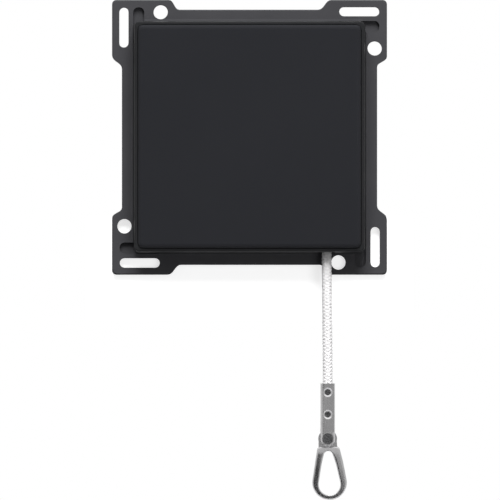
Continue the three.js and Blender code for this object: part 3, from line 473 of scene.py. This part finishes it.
def finish(
    name, tones, grain, rough, relief, metal=0.0, spread=(1, 1, 1), clouds=6 * MM, **shader_values
):
    """tones and rough are (low, high) pairs; grain, clouds and relief are sizes in metres."""
    material = bpy.data.materials.new(name)
    material.use_nodes = True
    tree = material.node_tree
    shader = tree.nodes["Principled BSDF"]
    place = put(tree, "ShaderNodeTexCoord")
    stretch = put(tree, "ShaderNodeMapping", {"Scale": spread})
    wire(tree, place, stretch, "Object", "Vector")
    cloud = put(tree, "ShaderNodeTexNoise", {"Scale": 1 / clouds, "Detail": 3.0, "Roughness": 0.55})
    fine = put(tree, "ShaderNodeTexNoise", {"Scale": 1 / grain, "Detail": 4.0, "Roughness": 0.6})
    wire(tree, place, cloud, "Object", "Vector")
    wire(tree, stretch, fine, "Vector", "Vector")
    both = put(tree, "ShaderNodeMix", {0: 0.45}, data_type="FLOAT")
    wire(tree, cloud, both, into=2)
    wire(tree, fine, both, into=3)
    ramp = put(tree, "ShaderNodeValToRGB")
    for stop, tone, at in zip(ramp.color_ramp.elements, tones, NOISE_RANGE):
        stop.position = at
        stop.color = (*tone, 1)
    wire(tree, both, ramp)
    wire(tree, ramp, shader, "Color", "Base Color")
    gloss = put(tree, "ShaderNodeMapRange")
    wire(tree, fine, gloss, into="Value")
    for key, value in zip(RAMP_SOCKETS, (*NOISE_RANGE, *rough)):
        gloss.inputs[key].default_value = value
    wire(tree, gloss, shader, into="Roughness")
    bump = put(tree, "ShaderNodeBump", {"Strength": 1.0, "Distance": relief})
    wire(tree, fine, bump, into="Height")
    wire(tree, bump, shader, into="Normal")
    shader.inputs["Metallic"].default_value = metal
    for key, value in shader_values.items():
        shader.inputs[key.replace("_", " ")].default_value = value
    return material


# %% [markdown]
# ### Moulded front and cover plate
# Both are through-coloured thermoplastic. The flange has an eroded, slightly lighter grain, and
# the block and the plate are smoother and darker. Block and flange are one moulding, so they need
# one material: it finds the flange by its depth, from just before its face to near its back.


# %% Front's finish
flange_finish = finish(
    "eroded_anthracite",
    [(0.0138, 0.0142, 0.0152), (0.0165, 0.0168, 0.0178)],
    grain=0.28 * MM,
    rough=(0.6, 0.72),
    relief=0.006 * MM,
    Specular_IOR_Level=0.1,
)
tree = flange_finish.node_tree
shader = tree.nodes["Principled BSDF"]
place = put(tree, "ShaderNodeTexCoord")
depth = put(tree, "ShaderNodeSeparateXYZ")
wire(tree, place, depth, "Object", "Vector")
FACE_Y = -1.6 * MM
near = grade(tree, depth, FACE_Y - 0.4 * MM, FACE_Y - 0.02 * MM, 0.0, 1.0, "Y")
under = grade(tree, depth, FACE_Y + 1.1 * MM, FACE_Y + 1.4 * MM, 1.0, 0.0, "Y")
band = sums(tree, "MULTIPLY", near, under)
LIFT = (3.0, 2.93, 2.97, 1)
plain = shader.inputs["Base Color"].links[0].from_socket
lifted = colours(tree, 1.0, plain, LIFT, "MULTIPLY")
tree.links.new(colours(tree, band.outputs[0], plain, lifted), shader.inputs["Base Color"])
print(flange_finish.name, len(tree.nodes), "nodes")

# %% Plate's finish
plate_finish = finish(
    "satin_anthracite",
    [(0.0133, 0.0138, 0.0162), (0.0149, 0.0154, 0.0178)],
    grain=0.18 * MM,
    rough=(0.46, 0.56),
    relief=0.0022 * MM,
    clouds=20 * MM,
    Specular_IOR_Level=0.1,
)
print(plate_finish.name, len(plate_finish.node_tree.nodes), "nodes")

# %% [markdown]
# ### Inner plastics and metals
# The insert is a pale, matt thermoset. Lever and cam are an engineering plastic with a light
# sheen. The clamp and the ring are nickel-plated zinc with fine draw marks along their length and
# some tarnish, and the small screws in sight are blackened steel. Spring and inner screws are
# zinc-plated steel, the contact parts are brass with silver tips. The plain ones differ only in
# tone, grain and gloss, so they come from one table.

# %% Other finishes
insert_finish, lever_finish, steel_finish, brass_finish, silver_finish = (
    finish(name, tones, grain * MM, rough, relief * MM, metal)
    for name, tones, grain, rough, relief, metal in (
        ("pale_insulation", [(0.56, 0.54, 0.49), (0.66, 0.64, 0.59)], 0.35, (0.55, 0.7), 0.006, 0),
        ("lever_plastic", [(0.5, 0.48, 0.43), (0.58, 0.56, 0.51)], 0.3, (0.4, 0.52), 0.004, 0),
        ("zinc_steel", [(0.38, 0.39, 0.41), (0.55, 0.56, 0.57)], 0.15, (0.25, 0.42), 0.003, 1),
        ("contact_brass", [(0.56, 0.38, 0.14), (0.72, 0.52, 0.22)], 0.15, (0.25, 0.42), 0.003, 1),
        ("contact_silver", [(0.6, 0.6, 0.58), (0.78, 0.78, 0.76)], 0.12, (0.2, 0.35), 0.002, 1),
    )
)
nickel_finish = finish(
    "plated_nickel",
    [(0.5, 0.495, 0.5), (0.62, 0.615, 0.62)],
    grain=0.2 * MM,
    rough=(0.14, 0.24),
    relief=0.0012 * MM,
    metal=1.0,
    spread=(1, 1, 0.08),
    clouds=1.6 * MM,
)
dark_finish = finish(
    "dark_steel",
    [(0.05, 0.05, 0.052), (0.24, 0.24, 0.245)],
    grain=0.3 * MM,
    rough=(0.3, 0.5),
    relief=0.02 * MM,
    metal=1.0,
    clouds=0.4 * MM,
)
print("materials", sorted(material.name for material in bpy.data.materials))

# %% [markdown]
# ### Yarn
# The cord is soft white polyester, which lets light into it. Where it runs out of the block it lies
# in the block's shade, and that shade is painted into the yarn as a greyer tone at that height. A
# plain white tube would look like wire, so the yarn also gets a weak sheen and some light under its
# surface.

# %% Yarn's finish
cord_finish = finish(
    "white_yarn",
    [(0.86, 0.845, 0.85), (0.93, 0.92, 0.925)],
    grain=0.09 * MM,
    rough=(0.55, 0.75),
    relief=0.006 * MM,
    spread=(1, 1, 0.4),
    clouds=4 * MM,
    Sheen_Weight=0.2,
    Sheen_Roughness=0.5,
    Subsurface_Weight=0.35,
    Subsurface_Radius=(0.5 * MM, 0.5 * MM, 0.5 * MM),
    Subsurface_Scale=1.0,
)
tree = cord_finish.node_tree
shader = tree.nodes["Principled BSDF"]
place = put(tree, "ShaderNodeTexCoord")
height = put(tree, "ShaderNodeSeparateXYZ")
wire(tree, place, height, "Object", "Vector")
# Painted shade: towards the port the yarn's colour is mixed with dark grey, where the block shades
# the cord.
PAINTED_SHADE_LOW, PAINTED_SHADE_HIGH, PAINTED_SHADE_SHARE = -26.3 * MM, -23.6 * MM, 0.75
painted_shade = grade(tree, height, PAINTED_SHADE_LOW, PAINTED_SHADE_HIGH, 0.0, PAINTED_SHADE_SHARE, "Z")
unshaded_yarn = shader.inputs["Base Color"].links[0].from_socket
painted_shade_tone = colours(tree, painted_shade.outputs[0], unshaded_yarn, (0.2, 0.2, 0.205, 1))
tree.links.new(painted_shade_tone, shader.inputs["Base Color"])
print(cord_finish.name, len(tree.nodes), "nodes")

# %% [markdown]
# ### Slots
# Each kind of material has one slot, which names the pieces that are made of it.

# %% Slots
FINISHES = {
    "flange_moulding": flange_finish,
    "cover_moulding": plate_finish,
    "insulating_moulding": insert_finish,
    "lever_moulding": lever_finish,
    "spring_steel": steel_finish,
    "contact_brass": brass_finish,
    "contact_silver": silver_finish,
    "braided_cord": cord_finish,
    "nickel_plate": nickel_finish,
    "dark_screw": dark_finish,
}
PIECES_OF = {
    "flange_moulding": "mounting_flange",
    "cover_moulding": "cover_plate",
    "insulating_moulding": "switch_housing bearing_plate",
    "lever_moulding": "pull_lever switching_cam",
    "spring_steel": "return_spring cam_screw terminal_screw_left terminal_screw_right "
    "insert_screw_upper_left insert_screw_upper_right "
    "insert_screw_lower_left insert_screw_lower_right",
    "contact_brass": "contact_blade fixed_contact blade_rivet fixed_contact_rivet "
    "terminal_block_left terminal_block_right",
    "contact_silver": "moving_contact_tip fixed_contact_tip",
    "braided_cord": "pull_cord cord_knot",
    "nickel_plate": "clamp_sleeve ring_handle",
    "dark_screw": "clamp_screw_upper clamp_screw_lower pivot_screw",
}
slot_of = {node: slot for slot, nodes in PIECES_OF.items() for node in nodes.split()}
print("finishes", len(FINISHES), "nodes with a slot", len(slot_of))

# %% [markdown]
# ## Cord and knot
# The braid tree runs along the cord's line. The knot that keeps the cord from slipping through
# the lever's eye is an overhand knot. A ball would do, but the open block shows it from behind,
# so the same tree runs once more, thinner, along the closed line of a trefoil.

# %% Cord
cord_piece = grown("braided_cord", line_object(cord_line), braid, Finish=cord_finish)
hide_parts("pull_cord")
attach(cord_piece, "cord")

# %% Knot
KNOT_MIDDLE = Vector((CORD_X, CORD_Y, 7.14 * MM))
KNOT_SIZE = 0.34
KNOT_STEPS = 60
KNOT_RISE = 2.4
knot_line = []
for i in range(KNOT_STEPS):
    t = 2 * math.pi * i / KNOT_STEPS
    across = math.sin(t) + 2 * math.sin(2 * t)
    ahead = math.cos(t) - 2 * math.cos(2 * t)
    around = Vector((across, ahead, -KNOT_RISE * math.sin(3 * t)))
    knot_line.append(tuple(KNOT_MIDDLE + around * KNOT_SIZE * MM))
knot_piece = grown(
    "stopper_knot",
    line_object(knot_line, closed=True),
    braid,
    Finish=cord_finish,
    Steps=150,
    Braid_Radius=0.56 * MM,
    Yarn_Radius=0.24 * MM,
    Core_Radius=0.5 * MM,
)
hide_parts("cord_knot")
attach(knot_piece, "cord")

# %% [markdown]
# ## Moulded pieces with soft edges
# The CAD solids have the right shapes, but their edges are sharp, and only a rounded edge catches
# light. A copy of each solid is merged into clean faces, its edges are broken by a small bevel, and
# weighted normals keep the flat faces flat. The copy replaces its node. The cover plate is pressed
# between the walls of its rim, so its copy also closes the narrow gap that the solids keep there.

# %% Soft-edged copies
EDGE_STEPS = 2
FOLD = math.radians(28)
SAME_POINT = 0.002 * MM
SAME_FACE = math.radians(0.6)


def softened(node, name, edge, body, rework=None):
    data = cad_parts[node].data.copy()
    data.name = name
    shape = bmesh.new()
    shape.from_mesh(data)
    bmesh.ops.remove_doubles(shape, verts=shape.verts, dist=SAME_POINT)
    bmesh.ops.dissolve_limit(shape, angle_limit=SAME_FACE, verts=shape.verts, edges=shape.edges)
    if rework:
        rework(shape)
    shape.to_mesh(data)
    shape.free()
    data.shade_smooth()
    data.materials.clear()
    data.materials.append(FINISHES[slot_of[node]])
    piece = linked(name, data)
    bevel = piece.modifiers.new("broken_edges", "BEVEL")
    bevel.width = edge
    bevel.segments = EDGE_STEPS
    bevel.limit_method = "ANGLE"
    bevel.angle_limit = FOLD
    bevel.use_clamp_overlap = True
    bevel.miter_outer = "MITER_ARC"
    weights = piece.modifiers.new("flat_faces", "WEIGHTED_NORMAL")
    weights.keep_sharp = False
    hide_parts(node)
    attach(piece, body)
    ready = piece.evaluated_get(bpy.context.evaluated_depsgraph_get())
    print(name, len(ready.data.polygons), "faces")
    return piece


# %% The soft-edged pieces
PLATE_SIDE = 22.2 * MM
PLATE_EASE = 0.18 * MM


def close_the_gap(shape):
    """Moves the plate's sides out, so that they nearly touch the walls of the rim."""
    for vert in shape.verts:
        for axis in (0, 2):
            if abs(vert.co[axis]) > PLATE_SIDE:
                vert.co[axis] += math.copysign(PLATE_EASE, vert.co[axis])


softened("mounting_flange", "moulded_front", 0.12 * MM, "front")
softened("cover_plate", "blank_plate", 0.1 * MM, "front", rework=close_the_gap)
softened("switch_housing", "insert_housing", 0.25 * MM, "front")
softened("bearing_plate", "insert_front", 0.15 * MM, "front")
softened("pull_lever", "cord_lever", 0.2 * MM, "lever")
softened("clamp_sleeve", "cord_clamp", 0.1 * MM, "cord")

# %% [markdown]
# ## Pull ring
# The ring is a cast drop-shaped loop with a rounded section. Its front leans back towards the
# lower end and towards both sides, so it mirrors the light part of the room at the top and the
# dark part below. It could be a bevelled copy of the solid, but a flat front mirrors only one
# tone. So its outer and inner outlines are the tight lines round a few circles, cut at the same
# angles from the ring's middle, and a rounded section is laid between each pair of points.

# %% Outlines of the ring
# Circles are (across, drop, radius) in mm from the pivot.
RING_OUTER = [(1.9, 2.25, 0.65), (-1.6, 2.25, 0.6), (0.33, 5.4, 2.96), (0.4, 9.08, 3.6)]
RING_HOLE = [(0.12, 3.5, 0.95), (0.25, 5.9, 1.57), (0.39, 9.45, 2.25)]
RING_MIDDLE = (0.32, 7.2)
SIDES_TRIED = 360
FIRST_SIDE, SIDE_STEP = -88.0, 0.49


def reach_at(circles, turn):
    """How far the tight line round some circles lies from the ring's middle."""
    heading = (math.cos(turn), math.sin(turn))
    reach = math.inf
    for step in range(SIDES_TRIED):
        side = turn + math.radians(FIRST_SIDE + step * SIDE_STEP)
        facing = (math.cos(side), math.sin(side))
        edge = max(
            (x - RING_MIDDLE[0]) * facing[0] + (y - RING_MIDDLE[1]) * facing[1] + r
            for x, y, r in circles
        )
        reach = min(reach, edge / (heading[0] * facing[0] + heading[1] * facing[1]))
    return reach


ring_width = reach_at(RING_OUTER, 0) + reach_at(RING_OUTER, math.pi)
print("ring is", round(ring_width, 2), "mm wide at its middle")

# %% Section of the ring
PIVOT = Vector((16.2 * MM, 0, -62.6 * MM))
RING_STATIONS = 144
SECTION_STEPS = 28
SQUARENESS = 7
RING_FRONT, RING_BACK = -5.05, -3.35


def at_pivot(across, depth, drop):
    """A place given in mm from the pivot, with its depth from the wall plane."""
    return (PIVOT.x + across * MM, depth * MM, PIVOT.z - drop * MM)


def front_lean(across, drop):
    """How far the ring's front leans back: to the sides, to the lower end and at the head."""
    to_sides = 0.009 * (across - 0.3) ** 2
    to_end = 0.0045 * max(drop - 2.5, 0) ** 2
    at_head = 0.08 * max(2.9 - drop, 0)
    return min(to_sides + to_end + at_head, 1.0)


def section_row(turn):
    """The closed section at one angle, from the outer line over the front to the hole and back."""
    (out_x, out_z), (in_x, in_z) = (
        (RING_MIDDLE[0] + away * math.cos(turn), RING_MIDDLE[1] + away * math.sin(turn))
        for away in (reach_at(RING_OUTER, turn), reach_at(RING_HOLE, turn))
    )
    row = []
    for k in range(SECTION_STEPS):
        lap = 2 * math.pi * k / SECTION_STEPS
        share = 0.5 - 0.5 * math.cos(lap)
        bulge = max(0.0, 1 - abs(2 * share - 1) ** SQUARENESS) ** (1 / SQUARENESS)
        across = out_x + (in_x - out_x) * share
        drop = out_z + (in_z - out_z) * share
        front = RING_FRONT + front_lean(across, drop)
        half = (RING_BACK - front) / 2 * bulge
        depth = (front + RING_BACK) / 2 + (-half if math.sin(lap) > 0 else half)
        row.append(at_pivot(across, depth, drop))
    return row


print("section has", len(section_row(0)), "points")


# %% Closed strips and finished meshes
def close_rows(shape, rows):
    """Joins rows of points to their neighbours, round both ways."""
    rows = [[shape.verts.new(point) for point in row] for row in rows]
    for row, following in zip(rows, rows[1:] + rows[:1]):
        for k in range(len(row)):
            nxt = (k + 1) % len(row)
            shape.faces.new((row[k], row[nxt], following[nxt], following[k]))


def meshed(name, shape, material, sharp):
    """Turns a bmesh into a linked object with outward faces, smooth up to the sharp angle."""
    bmesh.ops.recalc_face_normals(shape, faces=shape.faces)
    mesh = bpy.data.meshes.new(name)
    shape.to_mesh(mesh)
    shape.free()
    mesh.shade_smooth()
    mesh.set_sharp_from_angle(angle=math.radians(sharp))
    mesh.materials.append(material)
    print(name, len(mesh.polygons), "faces")
    return linked(name, mesh)


# %% Ring
TONGUE_FRONT, TONGUE_BACK = -4.7, -3.7
TONGUE_REACH = 1.95
TONGUE_FOOT = [(2.05, 2.2), (-1.9, 2.2)]
TONGUE_ROUND = [math.radians(angle) for angle in range(165, 376, 6)]
ring_shape = bmesh.new()
close_rows(ring_shape, [section_row(2 * math.pi * i / RING_STATIONS) for i in range(RING_STATIONS)])
tongue_edge = TONGUE_FOOT + [
    (TONGUE_REACH * math.cos(angle), TONGUE_REACH * math.sin(angle)) for angle in TONGUE_ROUND
]
tongue = [
    [ring_shape.verts.new(at_pivot(across, depth, drop)) for across, drop in tongue_edge]
    for depth in (TONGUE_FRONT, TONGUE_BACK)
]
ring_shape.faces.new(tongue[0])
ring_shape.faces.new(reversed(tongue[1]))
for k in range(len(tongue_edge)):
    nxt = (k + 1) % len(tongue_edge)
    ring_shape.faces.new((tongue[0][nxt], tongue[0][k], tongue[1][k], tongue[1][nxt]))
ring_piece = meshed("pull_ring", ring_shape, nickel_finish, sharp=50)
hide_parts("ring_handle")
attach(ring_piece, "ring")

# %% [markdown]
# ## Screws
# The clamp's two screws and the pivot screw show at the front. Each is a turned head with an eased
# rim, a cross recess cut by the driver's shape, and a plain shank. The recess could be a dark mark
# in the finish, but its walls catch light. The same shape comes at two sizes, so one geometry node
# tree makes it: two rods give the body, and two crossed bars are cut out of the head.

# %% Body and recess of a screw
def turned_body(tree, given):
    """Head and shank: two rods that meet at the seat, with the axis along Z."""
    body = put(tree, "GeometryNodeJoinGeometry")
    for radius, height, sign in (
        ("Head Radius", "Head Height", -0.5),
        ("Shank Radius", "Shank Length", 0.5),
    ):
        rod = put(tree, "GeometryNodeMeshCylinder", {"Vertices": 48})
        wire(tree, given, rod, radius, "Radius")
        wire(tree, given, rod, height, "Depth")
        up = put(tree, "ShaderNodeCombineXYZ")
        wire(tree, sums(tree, "MULTIPLY", given, sign, height), up, into="Z")
        moved = put(tree, "GeometryNodeTransform")
        wire(tree, rod, moved, "Mesh", "Geometry")
        wire(tree, up, moved, into="Translation")
        wire(tree, moved, body)
    return body


def driver_shape(tree, given):
    """Two crossed bars round the head's top, which reach down to the recess's floor."""
    bars = put(tree, "GeometryNodeJoinGeometry")
    for first, second in (("Recess Width", "Recess Reach"), ("Recess Reach", "Recess Width")):
        size = put(tree, "ShaderNodeCombineXYZ")
        wire(tree, given, size, first, "X")
        wire(tree, given, size, second, "Y")
        wire(tree, sums(tree, "MULTIPLY", given, 2.0, "Recess Depth"), size, into="Z")
        bar = put(tree, "GeometryNodeMeshCube")
        wire(tree, size, bar, into="Size")
        wire(tree, bar, bars, "Mesh")
    top = put(tree, "ShaderNodeCombineXYZ")
    wire(tree, sums(tree, "MULTIPLY", given, -1.0, "Head Height"), top, into="Z")
    driver = put(tree, "GeometryNodeTransform")
    wire(tree, bars, driver, into="Geometry")
    wire(tree, top, driver, into="Translation")
    return driver


# %% Screw tree
RECESS_TURN = math.radians(24)


def screw_tree():
    tree, given = new_tree(
        "cross_recess_screw",
        "Seat",
        "Screws",
        Head_Radius=0.75 * MM,
        Head_Height=0.6 * MM,
        Shank_Radius=0.6 * MM,
        Shank_Length=0.5 * MM,
        Recess_Width=0.24 * MM,
        Recess_Reach=1.1 * MM,
        Recess_Depth=0.35 * MM,
    )
    body = turned_body(tree, given)
    driver = driver_shape(tree, given)
    cut = put(tree, "GeometryNodeMeshBoolean", operation="DIFFERENCE", solver="EXACT")
    wire(tree, body, cut, into="Mesh 1")
    wire(tree, driver, cut, into="Mesh 2")
    cut.inputs["Self Intersection"].default_value = True
    placed = put(tree, "GeometryNodeInstanceOnPoints")
    wire(tree, given, placed, "Seat", "Points")
    wire(tree, cut, placed, "Mesh", "Instance")
    placed.inputs["Rotation"].default_value = (-math.pi / 2, RECESS_TURN, 0)
    return end_tree(tree, given, placed, "Instances")


cross_screw = screw_tree()


# %% Screws at their seats
def points_object(name, points):
    mesh = bpy.data.meshes.new(name)
    mesh.from_pydata(points, [], [])
    return bpy.data.objects.new(name, mesh)


def screws(name, nodes, body, slot, seats, **sizes):
    """Screws whose heads sit at the seats, one mesh for the nodes of one body."""
    source = points_object("seats", seats)
    piece = grown(name, source, cross_screw, Finish=FINISHES[slot], **sizes)
    broken = piece.modifiers.new("broken_edges", "BEVEL")
    broken.width = 0.05 * MM
    broken.segments = 2
    broken.limit_method = "ANGLE"
    broken.angle_limit = math.radians(40)
    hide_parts(*nodes)
    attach(piece, body)
    return piece


def seat_of(node, depth=0.0):
    """The middle of a CAD screw, at some depth behind the front of its head."""
    low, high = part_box(node)
    return ((low[0] + high[0]) / 2, low[1] + depth, (low[2] + high[2]) / 2)


CLAMP_SCREWS = ["clamp_screw_upper", "clamp_screw_lower"]
print("clamp screws sit at", [[round(v / MM, 2) for v in seat_of(node)] for node in CLAMP_SCREWS])

# %% Clamp screws
screws(
    "clamp_screws",
    CLAMP_SCREWS,
    "cord",
    "dark_screw",
    [seat_of(node, 0.3 * MM) for node in CLAMP_SCREWS],
    Head_Radius=0.62 * MM,
    Head_Height=0.3 * MM,
    Shank_Radius=0.6 * MM,
    Shank_Length=0.18 * MM,
    Recess_Width=0.26 * MM,
    Recess_Reach=0.85 * MM,
    Recess_Depth=0.2 * MM,
)

# %% Pivot screw
screws(
    "fork_pivot",
    ["pivot_screw"],
    "cord",
    "dark_screw",
    [seat_of("pivot_screw", 0.45 * MM)],
    Head_Radius=1.08 * MM,
    Head_Height=0.43 * MM,
    Shank_Radius=0.6 * MM,
    Shank_Length=3.1 * MM,
    Recess_Width=0.42 * MM,
    Recess_Reach=1.45 * MM,
    Recess_Depth=0.3 * MM,
)

# %% [markdown]
# The clamp's two screws sit in pressed seats: shallow cones, whose lower sides catch the light as
# bright crescents. Each is a narrow closed ring with a sloping inner side, turned round the
# screw's axis.

# %% Pressed screw seats
# The section is (radius, depth) in mm: front rim, inner edge at the screw's head, hidden back.
SEAT_SECTION = [(0.97, -5.95), (0.61, -5.66), (0.97, -5.58)]
SEAT_STEPS = 48


def seat_row(middle, turn):
    return [
        (middle[0] + r * MM * math.cos(turn), y * MM, middle[2] + r * MM * math.sin(turn))
        for r, y in SEAT_SECTION
    ]


seat_shape = bmesh.new()
for node in CLAMP_SCREWS:
    turns = [2 * math.pi * i / SEAT_STEPS for i in range(SEAT_STEPS)]
    close_rows(seat_shape, [seat_row(seat_of(node), turn) for turn in turns])
screw_seats = meshed("clamp_screw_seats", seat_shape, nickel_finish, sharp=40)
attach(screw_seats, "cord")

# %% [markdown]
# ## Return spring
# A compression spring of 0.6 mm wire stands on the shelf and holds the lever's arm up. Its shape
# follows a rule, a spiral swept by a round wire, so a small node tree makes it. The real spring is
# squeezed towards the shelf while the cord is pulled; here it rides with the front as one piece.


# %% Spring tree
def spring_tree():
    tree, given = new_tree(
        "compression_spring",
        "Seat",
        "Spring",
        Turns=5.0,
        Coil_Radius=1.5 * MM,
        Free_Height=8.6 * MM,
        Wire_Radius=0.3 * MM,
    )
    spiral = put(tree, "GeometryNodeCurveSpiral", {"Resolution": 36})
    wire(tree, given, spiral, "Turns", "Rotations")
    wire(tree, given, spiral, "Coil Radius", "Start Radius")
    wire(tree, given, spiral, "Coil Radius", "End Radius")
    wire(tree, given, spiral, "Free Height", "Height")
    ring = put(tree, "GeometryNodeCurvePrimitiveCircle", {"Resolution": 12}, mode="RADIUS")
    wire(tree, given, ring, "Wire Radius", "Radius")
    rod = put(tree, "GeometryNodeCurveToMesh", {"Fill Caps": True})
    wire(tree, spiral, rod, into="Curve")
    wire(tree, ring, rod, "Curve", "Profile Curve")
    smooth = put(tree, "GeometryNodeSetShadeSmooth")
    wire(tree, rod, smooth)
    placed = put(tree, "GeometryNodeInstanceOnPoints")
    wire(tree, given, placed, "Seat", "Points")
    wire(tree, smooth, placed, into="Instance")
    return end_tree(tree, given, placed, "Instances")


# %% Return spring
spring_low, spring_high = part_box("return_spring")
WIRE_RADIUS = 0.3 * MM
SPRING_X, SPRING_Y = 9.5 * MM, -4.2 * MM
spring_piece = grown(
    "pressure_spring",
    points_object("spring_seat", [(SPRING_X, SPRING_Y, spring_low[2] + WIRE_RADIUS)]),
    spring_tree(),
    Finish=steel_finish,
    Free_Height=spring_high[2] - spring_low[2] - 2 * WIRE_RADIUS,
)
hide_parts("return_spring")
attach(spring_piece, "front")
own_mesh(spring_piece)

# %% [markdown]
# ## Pieces that keep their CAD shape
# The contacts, terminals, cam and inner screws lie behind the cover, so their solids stay as they
# are. They only get the finish of their slot.

# %% Nodes that keep their shape
for node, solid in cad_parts.items():
    if not solid.hide_render:
        solid.data.materials.clear()
        solid.data.materials.append(FINISHES[slot_of[node]])
shown = [n for n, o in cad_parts.items() if not o.hide_render]
print(len(shown), "CAD nodes stay:", ", ".join(sorted(shown)))

# %% [markdown]
# ## Growth of the bounds
# The cord leaves the block through the port in its lower wall. Its far end is held in the clamp, a
# fitting that goes with it. The last cell prints how far the new pieces grew the CAD solids'
# bounds.

# %% Growth of the bounds
new_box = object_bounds()
for new_corner, cad_corner in zip(new_box, cad_box):
    print("grew by", [round((a - b) / MM, 2) for a, b in zip(new_corner, cad_corner)], "mm")
